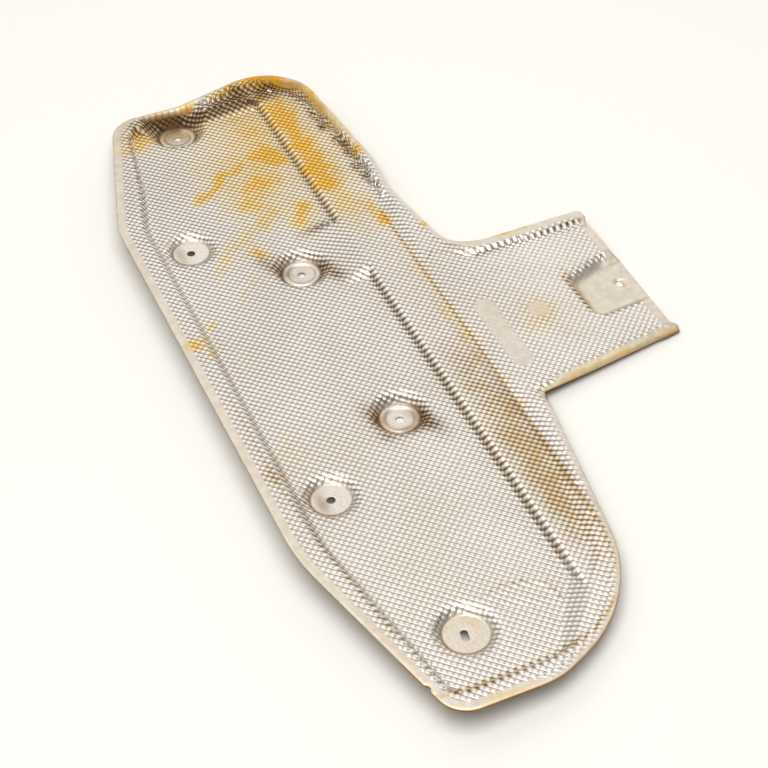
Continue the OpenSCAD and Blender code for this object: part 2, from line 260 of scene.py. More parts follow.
def with_seat(p, z):
    """The level z with the seat and its dimpled hole pressed into the tab."""
    depth = depth_inside(SEAT, p)
    sunk = high(0.0, low(SEAT_DEPTH / 7 * depth, SEAT_DEPTH, 1.2), 1.2)
    seat = plane(p, (TAB_X, 0, TAB_Z), TAB_SLOPE, 0) - sunk
    z = np.where((depth > -2) & (p[:, 0] > 150), low(z, seat, 0.4), z)
    r = np.hypot(p[:, 0] - SEAT_HOLE[0], p[:, 1] - SEAT_HOLE[1])
    rise = np.maximum(0, r - DIMPLE_IN) * DIMPLE_RISE / (DIMPLE_OUT - DIMPLE_IN)
    return np.where(r < DIMPLE_OUT + 1, low(z, SEAT_Z - DIMPLE_DEPTH + rise, 0.3), z)


def underside(p):
    """Height of the sheet's underside over the points p."""
    x, y = p[:, 0], p[:, 1]
    rise = BLANK_Z - 0.5 * depth_inside(VALLEY, p)
    caps = rim_levels(p)
    z = high(flanges_and_panel(p), np.where(y < 0, lower_flange(p, rise), BELOW_ALL), 0.8)
    upper_flange = low(low(rise, caps), plane(p, (80, 130, BLANK_Z - 0.5), 0, 0.3))
    z = high(z, np.where(y > 128, upper_flange, BELOW_ALL), 0.8)
    depth = depth_inside(RIM_FOOT, p)
    rim = low(low(BLANK_Z - 1.7 * depth, caps, 2.5), plane(p, (80, 206, BLANK_Z - 0.5), 0, 0.3))
    z = np.where(depth < 0, high(z, np.where(y > 200, rim, BELOW_ALL), 0.8), z)
    z = high(z, np.where((x > 74) & (y > -40) & (y < 156), tab(p), BELOW_ALL), 0.6)
    depth = depth_inside(TAB_FOOT, p)
    above_tab = (depth < 2) & (x > 84) & (y > 98)
    z = high(z, np.where(above_tab, tab_flange(p, depth), BELOW_ALL), 1.0)
    z = high(z, drawn_out_wall(p), 1.2)
    return with_seat(p, with_wells(p, z))


# The embossed face and back of the sheet.
# Small round bumps in a square pattern turned 45 degrees, rolled into the foil before the
# pressing; the pads, the seat and two patches on the tab were pressed flat again.
PITCH, BUMP, BACK_BUMP = 3.8, 0.36, 0.25
# Width of the hem, thickness of its folded layer, and width of its smooth band at the right.
HEM, FOLD, NARROW_BAND = 6.2, 1.2, 2.4
HOLE_R, HOLE_BEVEL = 3.2, 0.15
SLOT_W, SLOT_L, SLOT_TURN, SLOT_OFF = 5.0, 9.5, -8.0, (1.0, 0.5)
LONG_PATCH, LONG_PATCH_R = ((97.8, 5.5), (97.8, 67.5)), 6.0
ROUND_PATCH, ROUND_PATCH_R = (131.7, 46.6), 6.0
# Dents: place, radius and depth. They pucker the right flange, the lip and the top.
DENTS = [
    (75.7, 340, 4.0, 1.1), (74.1, 343, 3.0, 0.7), (76.1, 333, 3.0, 0.6), (74.1, 323, 3.2, 0.9),
    (78.6, 301, 3.2, 0.9), (82.2, 293, 2.8, 0.6), (80.6, 283, 3.2, 0.7), (78.2, 263, 3.0, 0.7),
    (81.2, 248, 2.8, 0.6), (75.6, -124, 3.4, 1.0), (71.6, -151, 3.0, 0.9), (10, 386, 4.0, 1.2),
    (34, 389, 3.4, 0.7), (207, 112, 2.6, 0.8), (203, 83, 2.4, -0.5), (64, -196, 3.0, 0.7)]
# Creases: both ends, width and rise. The first lies at the left wall, then come the upper
# deep pad's corner, the arc above the lowest pad, and soft waves in the panel and the tab.
CREASES = [
    (-84.5, 60, -85.5, 131, 2.4, 0.45), (-17, 100, 19, 101, 2.6, 0.3), (19, 101, 16, 78, 2.6, 0.3),
    (-18, -176, 4, -172, 2.2, 0.4), (4, -172, 20, -178, 2.2, 0.4), (20, -178, 24, -192, 2.2, 0.35),
    (-12, -186, 14, -196, 2.6, -0.35), (22, -30, 30, 60, 5.0, -0.25), (-60, 20, -40, 110, 6.0, 0.2),
    (-60, 300, -20, 250, 5.0, 0.25), (10, -120, 30, -60, 6.0, 0.2), (130, 20, 180, 0, 6.0, 0.2)]


def ripple(x, y, scale, seed):
    """Smooth, repeatable waviness between about -1 and 1."""
    total = 0
    for k in range(4):
        a = seed * 1.7 + k * 2.4
        long_wave = np.sin((x * math.cos(a) + y * math.sin(a)) / scale + seed * 3.1 + k)
        b = a * 1.3
        total = total + long_wave * np.cos((y * math.cos(b) - x * math.sin(b)) / (scale * 1.37) + k * 1.9)
    return total / 2.6


def face_height(p):
    """Underside with the unevenness of a used sheet."""
    x, y = p[:, 0], p[:, 1]
    z = underside(p)
    for cx, cy, r, depth in DENTS:
        z = z - depth * np.exp(-((x - cx) ** 2 + (y - cy) ** 2) / r ** 2)
    for x0, y0, x1, y1, wide, rise in CREASES:
        z = z + rise * np.exp(-(distance_to(p, (x0, y0), (x1, y1)) / wide) ** 2)
    free = 1 - share((x - 150) / 20)
    for cx, cy, *_ in DEEP_PADS + SHALLOW_PADS:
        free *= share((np.hypot(x - cx, y - cy) - 14) / 12)
    return z + free * (0.28 * ripple(x, y, 31, 2) + 0.12 * ripple(x, y, 13, 5))


def surface(p):
    """Points of the underside over p and the upward normals there."""
    e = 0.5
    dx = (face_height(p + [e, 0]) - face_height(p - [e, 0])) / (2 * e)
    dy = (face_height(p + [0, e]) - face_height(p - [0, e])) / (2 * e)
    n = np.stack([-dx, -dy, np.ones(len(p))], 1)
    return np.column_stack([p, face_height(p)]), n / np.linalg.norm(n, axis=1)[:, None]


def patterned(p):
    """1 where the bumps stand at full height, 0 where the sheet is smooth."""
    x, y = p[:, 0], p[:, 1]
    narrow = share((x + 25 + 45 * (y > 300)) / 15) * share((112 - x) / 8)
    band = HEM + (NARROW_BAND - HEM) * narrow
    m = share((depth_inside(EDGE, p) - band + 0.3) / 1.6)
    for cx, cy, *_ in DEEP_PADS:
        m *= share((np.hypot(x - cx, y - cy) - 14.8) / 3)
    for cx, cy, flat_r in SHALLOW_PADS:
        m *= share((np.hypot(x - cx, y - cy) - flat_r - 0.2) / 3)
    m *= np.where(x > 150, share(1 - (depth_inside(SEAT, p) - 1.5) / 3), 1)
    m *= 0.12 + 0.88 * share((distance_to(p, *LONG_PATCH) - LONG_PATCH_R) / 2.2)
    r = np.hypot(x - ROUND_PATCH[0], y - ROUND_PATCH[1])
    return m * (0.2 + 0.8 * share((r - ROUND_PATCH_R) / 3))


def steep(normal):
    """1 on the steep walls, where the pattern runs up the wall, and 0 elsewhere."""
    return share((0.88 - normal[:, 2]) / 0.20)


def in_pitches(p):
    """Places on the flat sheet, counted in bumps along the two rows of the pattern."""
    return np.stack([p[:, 0] + p[:, 1], p[:, 1] - p[:, 0]], 1) / (math.sqrt(2) * PITCH)


def emboss(p):
    a, b = in_pitches(p).T
    return 0.64 * np.cos(2 * math.pi * a) + 0.36 * np.cos(2 * math.pi * b)


def inset(corners, d):
    """The corner list moved inwards by d, as in the part's own construction."""
    moved = []
    for i, corner in enumerate(corners):
        u, v = way(corners[i - 1], corner), way(corner, corners[(i + 1) % len(corners)])
        p = np.array([corner[0] - u[1] * d, corner[1] + u[0] * d])
        q = np.array([corner[0] - v[1] * d, corner[1] + v[0] * d])
        s = cross(q - p, v) / cross(u, v)
        moved.append((*(p + u * s), max(0.3, corner[2] - d * np.sign(cross(u, v)))))
    return moved


def straight_pieces(corners, length):
    """How often the straight side after each corner is divided into pieces of about a length."""
    back = []
    for i, corner in enumerate(corners):
        u, v = way(corners[i - 1], corner), way(corner, corners[(i + 1) % len(corners)])
        back.append(corner[2] * math.tan(math.acos(max(-1, min(1, float(u @ v)))) / 2))
    pieces = []
    for i, corner in enumerate(corners):
        after = (i + 1) % len(corners)
        straight = math.dist(corner[:2], corners[after][:2]) - back[i] - back[after]
        pieces.append(max(1, round(straight / length)))
    return pieces


def ring_loop(cx, cy, r, n):
    a = 2 * math.pi * np.arange(n) / n
    return np.stack([cx + r * np.cos(a), cy + r * np.sin(a)], 1)


def slot_loop(cx, cy, r, n):
    """Ring round the slotted hole, as far out from it as a ring of radius r from a round one."""
    turn = math.radians(SLOT_TURN)
    along = np.array([-math.sin(turn), math.cos(turn)])
    ring = ring_loop(0, 0, SLOT_W / 2 + r - HOLE_R, n)
    ends = np.sign(ring @ along)[:, None] * along * (SLOT_L - SLOT_W) / 2
    return ring + ends + [cx - SLOT_OFF[0], cy - SLOT_OFF[1]]


# Smooth pads: centre, radius and number of points of the ring that bounds them, and the
# radii of the rings inside it.
DEEP_RINGS = [15.7, 15.0, 14.4, 13.9, 13.4, 12.9, 12.4, 11.9, 11.2, 10.4, 9.5, 7.5, 5.3, 3.9, HOLE_R]
SHALLOW_RINGS = [0.7, 0, -1.2, -3, -6, -8.5]
SEAT_RINGS = [7.6, 6.6, 5.6, 4.6, 3.7, HOLE_R]
PADS = [(cx, cy, 16.5, 60, DEEP_RINGS) for cx, cy, *_ in DEEP_PADS]
for cx, cy, flat_r in SHALLOW_PADS:
    PADS.append((cx, cy, flat_r + 1.5, 56, [flat_r + s for s in SHALLOW_RINGS] + [3.9, HOLE_R]))
PADS.append((*SEAT_HOLE, 8.5, 32, SEAT_RINGS))

pieces = straight_pieces(EDGE, 2.3)
edge_line = rounded(EDGE, 6.0, pieces)
hem_line = rounded(inset(EDGE, HEM), 6.0, pieces)


def pattern_cells(step):
    """Square cells of the pattern that lie clear of the hem and of the pads: the points, the
    corners of each cell, and the set of the cells' places in the grid."""
    clear = 0.45 * step
    first_a, first_b = math.floor(-270 / step), math.floor(-340 / step)
    rows = step * np.arange(first_a, math.ceil(445 / step))
    columns = step * np.arange(first_b, math.ceil(375 / step))
    a, b = np.meshgrid(rows, columns, indexing="ij")
    grid = np.stack([(a - b).ravel(), (a + b).ravel()], 1) / math.sqrt(2)
    keep = np.all((grid > [-LEFT_EDGE, -256]) & (grid < [216, 403]), axis=1)
    keep[keep] = depth_inside(EDGE, grid[keep], 3.0) > HEM + clear
    for cx, cy, r, *_ in PADS:
        keep &= np.hypot(grid[:, 0] - cx, grid[:, 1] - cy) > r + clear
    kept = keep.reshape(a.shape)
    cell = kept[:-1, :-1] & kept[1:, :-1] & kept[1:, 1:] & kept[:-1, 1:]
    number = np.arange(a.size).reshape(a.shape)
    corners = [number[:-1, :-1], number[1:, :-1], number[1:, 1:], number[:-1, 1:]]
    used, quads = np.unique(np.stack([c[cell] for c in corners], 1), return_inverse=True)
    places = {(i + first_a, j + first_b) for i, j in np.argwhere(cell)}
    return grid[used], quads.reshape(-1, 4).tolist(), places


def skin_plan(step):
    """Flat plan of one face: the square cells, and triangles that join them to the hem and to
    the rings round the pads. Returns the points, the faces and the loops."""
    cell_points, quads, places = pattern_cells(step)
    used = Counter()
    for q in quads:
        for k in range(4):
            used[tuple(sorted((q[k], q[(k + 1) % 4])))] += 1
    rough = [side for side, n in used.items() if n == 1]
    rough_ids = sorted({i for side in rough for i in side})
    local = {i: k for k, i in enumerate(rough_ids)}
    coords = [tuple(cell_points[i]) for i in rough_ids]
    sides = [(local[a], local[b]) for a, b in rough]
    loops, starts = [hem_line] + [ring_loop(*pad[:4]) for pad in PADS], []
    for loop in loops:
        start = len(coords)
        starts.append(start)
        coords.extend(map(tuple, loop))
        sides.extend((start + k, start + (k + 1) % len(loop)) for k in range(len(loop)))
    made = delaunay_2d_cdt([Vector(c) for c in coords], sides, [], 0, 1e-5)
    spots, triangles, origins = made[0], made[2], made[3]
    number, where, extra = [], {}, []
    for spot, origin in zip(spots, origins):
        if origin and min(origin) < len(rough_ids):
            number.append(rough_ids[min(origin)])
        else:
            number.append(len(cell_points) + len(extra))
            extra.append(tuple(spot))
        where.update((source, number[-1]) for source in origin)
    middles = np.array([np.mean([spots[v] for v in t], 0) for t in triangles])
    grid_places = np.floor(in_pitches(middles) * PITCH / step).astype(int)
    wanted = inside_of(hem_line, middles)
    for cx, cy, r, n, _ in PADS:
        wanted &= np.hypot(middles[:, 0] - cx, middles[:, 1] - cy) >= r * math.cos(math.pi / n)
    joining = []
    for triangle, place, ok in zip(triangles, grid_places, wanted):
        if ok and tuple(place) not in places:
            joining.append([number[v] for v in triangle])
    loop_ids = [[where[start + k] for k in range(len(loop))] for start, loop in zip(starts, loops)]
    return np.concatenate([cell_points, extra]), quads + joining, loop_ids


points, plans, sides, faces = [], [], [], []
TOP, BACK, RIM = 1, 2, 3


def add_points(plan, xyz, side):
    """Add points, each with the place on the flat sheet that its pattern comes from."""
    first = sum(map(len, points))
    points.append(xyz)
    plans.append(plan)
    sides.append(np.full(len(xyz), side))
    return list(range(first, first + len(xyz)))


def join(a, b, flip=False):
    """Faces between two rings of points."""
    for k in range(len(a)):
        after = (k + 1) % len(a)
        face = [a[k], a[after], b[after], b[k]]
        faces.append(face[::-1] if flip else face)


loops = {}
for side, step in ((TOP, PITCH / 2), (BACK, PITCH)):
    plan, plan_faces, plan_loops = skin_plan(step)
    base, normal = surface(plan)
    if side == TOP:
        lift = GAUGE + BUMP * emboss(plan) * patterned(plan) * (1 - steep(normal))
    else:
        lift = BACK_BUMP * patterned(plan)
    ids = add_points(plan, base + normal * lift[:, None], side)
    for face in plan_faces:
        a, b, c = plan[face[:3]]
        clockwise = cross(b - a, c - a) < 0
        faces.append([ids[v] for v in (face[::-1] if clockwise == (side == TOP) else face)])
    loops[side] = [[ids[v] for v in loop] for loop in plan_loops]

for k, (cx, cy, _, n, radii) in enumerate(PADS):
    slotted = (cx, cy) == SHALLOW_PADS[-1][:2]
    ends = {}
    for side in (TOP, BACK):
        ends[side] = loops[side][1 + k]
        for r in radii:
            ring = slot_loop(cx, cy, r, n) if slotted and r < 5 else ring_loop(cx, cy, r, n)
            base, normal = surface(ring)
            lift = (GAUGE - HOLE_BEVEL * (r == radii[-1])) * (side == TOP)
            ids = add_points(ring, base + normal * lift, side)
            join(ends[side], ids, side == BACK)
            ends[side] = ids
    join(ends[TOP], ends[BACK])

# The hem: the edge folded under and pressed flat, smooth on top, with a rounded fold.
# At the outer end of the seat the sheet is a single layer. The seat and the turned-down lip
# stand out past the end of the tab, and its upper corner steps in.
END_X = TAB_END - 13.5
SEAT_OUT, LIP_OUT, STEP_IN = 3.5, 4.4, 1.7
SEAT_SIDES, STEP_SIDES, LIP_TOP = (22.5, 79), (113, 121), -9.3
SINGLE_SIDES = (26, 75)
# Torn nicks in the bottom edge: place and the direction they point in.
NICKS = ((-84.8, -229.4, 0.96, 0.27), (34.5, -238.5, -0.42, 0.91))
NICK_DEPTH, NICK_R = 3.0, 3.6


def between(y, ends, run):
    """1 between two places along y and 0 outside them, with ends that fade over a run."""
    return share((y - ends[0]) / run) * share((ends[1] - y) / run)


edge_x, edge_y = edge_line.T
at_end = edge_x > END_X
outer = edge_line.copy()
outer[:, 0] += at_end * SEAT_OUT * between(edge_y, SEAT_SIDES, 5)
outer[:, 0] += at_end * (LIP_OUT * share(LIP_TOP - edge_y) - STEP_IN * between(edge_y, STEP_SIDES, 1.2))
for cx, cy, towards_x, towards_y in NICKS:
    depth = NICK_DEPTH * share(1 - np.hypot(edge_x - cx, edge_y - cy) / NICK_R)
    outer += depth[:, None] * [towards_x, towards_y]
span = hem_line - outer
width = np.hypot(*span.T)
double = 1 - between(edge_y, SINGLE_SIDES, 3) * at_end
bend = (GAUGE + FOLD * double) / 2


def hem_points(d):
    return outer + span * (d / width)[:, None]


above = loops[TOP][0]
for d in (4.6, 2.8):
    base, normal = surface(hem_points(d))
    swell = GAUGE + 0.12 * ripple(base[:, 0], base[:, 1], 6.5, 3)
    ids = add_points(base[:, :2], base + normal * swell[:, None], RIM)
    join(above, ids)
    above = ids
base, normal = surface(hem_points(bend))
away = surface(outer)[0] - base
away -= normal * np.sum(away * normal, 1)[:, None]
away /= np.linalg.norm(away, axis=1)[:, None]
middle = base + normal * (GAUGE - bend)[:, None]
for t in np.linspace(0, math.pi, 8):
    ring = middle + bend[:, None] * (math.cos(t) * normal + math.sin(t) * away)
    ids = add_points(ring[:, :2], ring, RIM)
    join(above, ids)
    above = ids
base, normal = surface(hem_points(HEM - 0.7))
for drop in (FOLD, 0.15):
    ids = add_points(base[:, :2], base - normal * (drop * double)[:, None], RIM)
    join(above, ids)
    above = ids
join(above, loops[BACK][0])

sheet_points = np.concatenate(points)
leaned = sheet_points @ np.array(Matrix.Rotation(LEAN, 3, "Y")).T
mesh = bpy.data.meshes.new("shield_sheet_pressed")
mesh.from_pydata((leaned * 0.001).tolist(), [], faces)
mesh.validate()
for poly in mesh.polygons:
    poly.use_smooth = True
mesh.set_sharp_from_angle(angle=math.radians(62))
sheet = bpy.data.objects.new("shield_sheet_pressed", mesh)
bpy.context.scene.collection.objects.link(sheet)
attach(sheet, "root")
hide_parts("shield_sheet")


# The stains and the painted shade: marks of heat, oil and dirt on the bare metal of a used sheet,
# and shade painted on its walls, creases and wells. There is an orange film at the top, brown
# dirt mixed with painted shade along the folds and walls, and painted shade in the wells.
#
# Spots: place, two half widths, turn in degrees and strength. Lines: points, width and strength.
# Places are in mm across and along the panel, as it is seen from the front left: a mark on a
# part that stands higher is given at the place of the panel that this part hides.
SEEN_FROM, SEEN_SHIFT = np.array([1.5, 30.5]), np.array([0.42, 0.96])
RUST = [
    (22, 323, 24, 22, 0, 0.5), (18, 287, 14, 13, 0, 0.95), (26, 276, 10, 6, -20, 0.6),
    (6, 254, 13, 9, 10, 0.8), (-12, 234, 15, 8, 20, 0.65), (0, 265, 44, 64, 0, 0.46),
    (23, 207, 9, 9, -15, 1.2), (15, 192, 8, 13, 0, 0.6), (-28, 171, 4, 8, -30, 1.0),
    (-50, 136, 26, 3.5, 36, 0.45), (-90, 110, 5, 4, 0, 1.2), (-105, 92, 8, 7, 30, 1.0),
    (-101, 80, 6, 3, 30, 0.7), (-75, 337, 13, 9, 20, 0.95), (-64, 352, 12, 10, 0, 0.7),
    (-98, 345, 8, 16, -10, 0.3), (-19, 380, 9, 4, 0, 0.8), (-47, 371, 8, 5, 0, 0.35),
    (93, 257, 3, 6, 0, 1.6), (54, 200, 14, 22, 0, 0.5), (73, 171, 5, 9, 0, 1.1),
    (72, 190, 4, 8, 0, 0.6), (60, 290, 22, 90, 0, 0.5), (84, 300, 6, 60, 0, 0.4),
    (103, 148, 3, 4, 30, 1.9), (110, 130, 5, 3, -30, 2.0), (116, 125, 4, 2, 0, 2.0),
    (140, 117, 4, 3, 0, 2.2), (150, 115, 4, 3, 0, 2.2), (155, 118, 3, 2, 0, 2.0),
    (165, 116, 4, 3, 0, 2.0), (215, 108, 3, 4, 0, 1.5), (10, 350, 50, 16, 5, 0.4),
    (158, -45, 62, 6, 9.5, 0.6), (-40, -281, 52, 5, -3, 0.4), (34, -271, 40, 6, 20, 0.35),
    (131, 20, 13, 13, 0, 0.3), (140, 20, 70, 50, 0, 0.14), (60, -110, 13, 110, 3, 0.22),
    (76, 50, 5, 130, 0, 0.35), (-90, -40, 16, 30, 0, 0.25), (-35, 300, 60, 70, 0, 0.1),
    (60, 100, 14, 70, 0, 0.14)]
RUST_LINES = [
    (((30, 392), (50, 388), (70, 376)), 9.0, 1.5), (((-20, 368), (-14, 370)), 4.0, 0.9),
    (((12, 376), (40, 378), (66, 366)), 7.0, 1.0), (((32, 362), (42, 360)), 4.0, 0.9),
    (((70, 374), (84, 350), (90, 322)), 7.0, 0.55), (((90, 322), (94, 262)), 4.0, 0.5),
    (((54, 342), (54, 293), (52, 262), (53, 230)), 9.5, 1.05),
    (((0, 217), (-23, 196), (-44, 188), (-58, 165)), 9.0, 0.42),
    (((-47, 252), (-35, 262), (-22, 272), (-4, 280)), 4.5, 0.85)]
# Brown dirt, with painted shade on the walls, creases and wells, as spots and lines.
DIRT_AND_SHADE = [
    (61, -85, 14, 100, 3, 0.75), (57, -150, 12, 70, 2, 0.6), (67, -60, 8, 80, 2, 0.5),
    (170, 33, 2.6, 24, 0, 1.0), (-37, 352, 18, 13, 0, 0.7), (72, 352, 6, 14, -10, 0.4),
    (-20, 158, 7, 16, 30, 0.7), (-18, -28, 7, 18, 20, 0.7), (-98, 340, 4, 30, -12, 0.3),
    (-104, -50, 11, 9, 0, 0.6), (-92, -200, 4, 60, 12, 0.4), (20, 356, 50, 6, 4, 0.3),
    (-36, 343, 13, 13, 0, 0.8), (-40, 368, 20, 7, -10, 1.3), (-62, 362, 7, 6, 0, 0.9),
    (135, 18, 12, 20, 0, 0.3), (148, -12, 20, 14, 0, 0.2), (82, 330, 6, 44, 4, 0.4),
    (84, 255, 5, 44, 0, 0.55), (12, -42, 6, 14, 20, 0.5)]
DIRT_AND_SHADE_LINES = [
    (((39.5, -196), (39.5, 110)), 3.2, 0.6), (((39.5, 186), (39.5, 352)), 3.2, 0.65),
    (((75, -175), (76, -60), (77.5, 20), (76.5, 100), (76, 180)), 1.5, 1.2),
    (((-84, -262), (-60, -266), (0, -264), (30, -256), (52, -240)), 1.5, 1.1),
    (((62, -236), (72, -200), (76, -170)), 1.4, 0.7),
    (((-22, -205), (-8, -201), (8, -203), (20, -212), (24, -226)), 1.2, 0.7),
    (((-103, 40), (-103, -60), (-98, -120), (-84, -210)), 1.4, 0.6),
    (((80, 108), (92, 118), (104, 108), (120, 99)), 1.3, 0.7),
    (((168, 10), (166, 50)), 1.6, 1.0), (((168, 50), (182, 57), (206, 58)), 1.2, 0.5),
    (((-16, 70), (14, 71), (18, 50)), 1.3, 0.3),
    (((69, 354), (74, 333), (78, 306), (80, 287), (83, 263), (80, 220)), 2.4, 0.7),
    (((98, -57), (160, -47), (214, -37)), 2.2, 0.9)]
# Painted shade on the walls, in the wells and round the pads, as spots and lines.
SHADE_SPOTS = [
    (31, 378, 4, 5, 0, 0.9), (57, 369, 5, 4, 0, 1.3), (-36, 341, 14, 12, 0, 0.22),
    (-8, 137, 12, 12, 0, 0.16), (12, 358, 54, 6, 3, 1.1), (-34, 360, 22, 7, -10, 1.5),
    (32, 371, 28, 8, 8, 0.7), (24, 182, 12, 4, 15, 0.7), (76, 320, 3, 4, 0, 0.9),
    (78, 310, 3, 3, 0, 1.0), (76, 300, 3, 4, 0, 1.2), (80, 278, 3, 4, 0, 1.3),
    (84, 270, 3, 3, 0, 1.2), (82, 260, 3, 4, 0, 1.1), (80, 240, 3, 4, 0, 1.0),
    (83, 225, 3, 4, 0, 1.0), (78, 335, 3, 12, 0, 0.5), (-24, 150, 5, 16, 25, 0.6),
    (14, 132, 6, 13, 20, 0.8), (-20, -35, 5, 16, 10, 0.6), (12, -44, 6, 15, 20, 0.9),
    (-2, -50, 14, 4, 0, 0.6), (74, -60, 3, 100, 2, 0.3), (-84, 195, 4, 10, 0, 0.4),
    (-84, -88, 4, 12, 0, 0.5)]
SHADE_LINES = [
    (((39.5, -190), (39.5, 110)), 1.4, 0.2), (((39.5, 186), (39.5, 352)), 1.4, 0.25),
    (((120, 99), (160, 101), (208, 104)), 1.2, 0.9), (((98, -60), (160, -50), (214, -40)), 1.8, 1.3),
    (((-14, 356), (6, 360), (26, 363)), 4.6, 1.0), (((48, 366), (58, 367)), 3.5, 0.8),
    (((-50, 366), (-30, 362)), 5.0, 1.2), (((60, 364), (70, 356), (75, 343)), 1.6, 0.8)]


def grain(p, cell, seed):
    """Repeatable blotches between 0 and 1, cell mm across."""
    place = p / cell + [seed * 17.3, seed * 9.1]
    (i, j), (u, v) = np.floor(place).T, (place - np.floor(place)).T
    u, v = u * u * (3 - 2 * u), v * v * (3 - 2 * v)

    def corner(a, b):
        s = np.sin(a * 127.1 + b * 311.7 + seed * 74.7) * 43758.5453
        return s - np.floor(s)

    return ((corner(i, j) * (1 - u) + corner(i + 1, j) * u) * (1 - v)
            + (corner(i, j + 1) * (1 - u) + corner(i + 1, j + 1) * u) * v)


def blotches(p, cell, seed):
    coarse, fine = grain(p, cell, seed), grain(p, cell / 2.3, seed + 1)
    return 0.55 * coarse + 0.3 * fine + 0.15 * grain(p, cell / 5, seed + 2)


def spots_at(p, spots):
    total = np.zeros(len(p))
    for cx, cy, rx, ry, turned, strength in spots:
        a = math.radians(turned)
        u = (p[:, 0] - cx) * math.cos(a) + (p[:, 1] - cy) * math.sin(a)
        v = (p[:, 1] - cy) * math.cos(a) - (p[:, 0] - cx) * math.sin(a)
        total += strength * np.exp(-np.hypot(u / rx, v / ry) ** 1.8)
    return total


def lines_at(p, lines):
    total = np.zeros(len(p))
    for line, wide, strength in lines:
        near = np.min([distance_to(p, a, b) for a, b in zip(line, line[1:])], 0)
        total = np.maximum(total, strength * np.exp(-(near / wide) ** 2))
    return total


def near_ring(r, ring_r, wide):
    """1 on a ring of a radius, fading to 0 over a width on both sides of it."""
    return share(1 - np.abs(r - ring_r) / wide)


flat = np.concatenate(plans)
side_of = np.concatenate(sides)
on_top, on_rim = side_of != BACK, side_of == RIM
base, upward = surface(flat)
seen = flat - SEEN_FROM + (sheet_points[:, 2] - PANEL_Z - GAUGE)[:, None] * SEEN_SHIFT
drift = seen + 15 * (np.stack([blotches(seen, 12, 21), blotches(seen, 12, 33)], 1) - 0.5)
patch, mottle = blotches(seen, 9, 4), blotches(seen, 5, 8)

# Along the fold the rim is golden, most of all at the bottom and under the tab; below that the fold gets
# painted shade.
below_top = base[:, 2] + GAUGE - sheet_points[:, 2]
fold_side = share(below_top / 0.8) * on_rim
lower_edges = (flat[:, 1] < -205) | ((flat[:, 0] > 94) & (flat[:, 1] < -8))
golden = fold_side * (0.35 + 1.3 * lower_edges)
shaded_underside = share((below_top - 0.75) / 0.5) * on_rim

rust = (spots_at(drift, RUST) + lines_at(drift, RUST_LINES)) * (0.25 + 0.9 * patch + 0.7 * mottle)
rust = np.clip(rust - 0.12, 0, 1.2) * on_top + 0.8 * golden
# Dirt, with painted shade on the walls and creases.
dirt_and_shade = spots_at(seen, DIRT_AND_SHADE) * (0.5 + patch) - 0.05 + lines_at(seen, DIRT_AND_SHADE_LINES)
dirt_and_shade = np.clip(dirt_and_shade, 0, 1.3) * on_top + golden
# Painted shade on the walls and in the wells, and on the underside of the fold.
painted_shade = spots_at(seen, SHADE_SPOTS) * (0.5 + 0.9 * patch) + lines_at(seen, SHADE_LINES)
painted_shade = painted_shade * on_top + 1.6 * shaded_underside

# Painted shade with some dirt lies round the pads: at the near side of the deep ones and round
# the floor of their dish, and at the left of the shallow ones; dirt lies on the face of the lowest one.
polish = np.zeros(len(flat))
NEAR_SIDE = np.array([0.385, 0.923])
for cx, cy, *_ in DEEP_PADS:
    away = flat - [cx, cy]
    r = np.hypot(*away.T)
    near_side = share(0.6 - 0.5 * (away @ NEAR_SIDE) / np.maximum(r, 1e-6))
    # Painted shade in the groove at the near side and on the ring round the dish floor.
    painted_shade += 1.5 * near_side * near_ring(r, 16.0, 2.6) + 0.35 * near_ring(r, 10.4, 1.0)
    dirt_and_shade += 0.8 * near_side * near_ring(r, 17.0, 5.0)
    polish += share((14.6 - r) / 0.8)
for cx, cy, flat_r in SHALLOW_PADS:
    away = flat - [cx, cy]
    r = np.hypot(*away.T)
    lower_left = 0.5 - 0.5 * away.sum(1) / np.maximum(r, 1e-6) / math.sqrt(2)
    # Painted shade, strongest at the lower left, round the shallow pad's face.
    painted_shade += (0.2 + 0.9 * lower_left) * near_ring(r, flat_r + 0.8, 1.4)
    dirt_and_shade += (0.15 + 0.35 * lower_left) * near_ring(r, flat_r, 3.0)
    polish += share((flat_r + 0.4 - r) / 0.8)
cx, cy, flat_r = SHALLOW_PADS[-1]
dirt_and_shade += 0.9 * patch * share((flat_r - np.hypot(flat[:, 0] - cx, flat[:, 1] - cy)) / 2)

# On the walls the pattern is laid along the slope, and shows less on the strip and the tab.
pattern = patterned(flat) * np.where(on_rim, 0.95, 1) * (1 - fold_side)
quiet = ((np.abs(flat[:, 0] - 43) < 9) & (flat[:, 1] < 380)) | (flat[:, 0] > 90)
wall = steep(upward) * np.where(quiet, 0.2, 1)
uphill = -upward[:, :2] / np.maximum(np.hypot(*upward[:, :2].T), 1e-6)[:, None]
climb = np.sqrt((1 - upward[:, 2]) / (1 + upward[:, 2])) * (sheet_points[:, 2] - PANEL_Z)
laid = flat + uphill * (climb * steep(upward))[:, None]
lattice = np.column_stack([in_pitches(laid), np.zeros(len(flat))])
for name, values in (("rust", rust), ("dirt_and_shade", dirt_and_shade), ("painted_shade", painted_shade), ("pattern", pattern),
                     ("polish", polish), ("wall", wall)):
    layer = mesh.attributes.new(name, "FLOAT", "POINT")
    layer.data.foreach_set("value", values.astype(np.float32))
layer = mesh.attributes.new("lattice", "FLOAT_VECTOR", "POINT")
layer.data.foreach_set("vector", lattice.astype(np.float32).ravel())
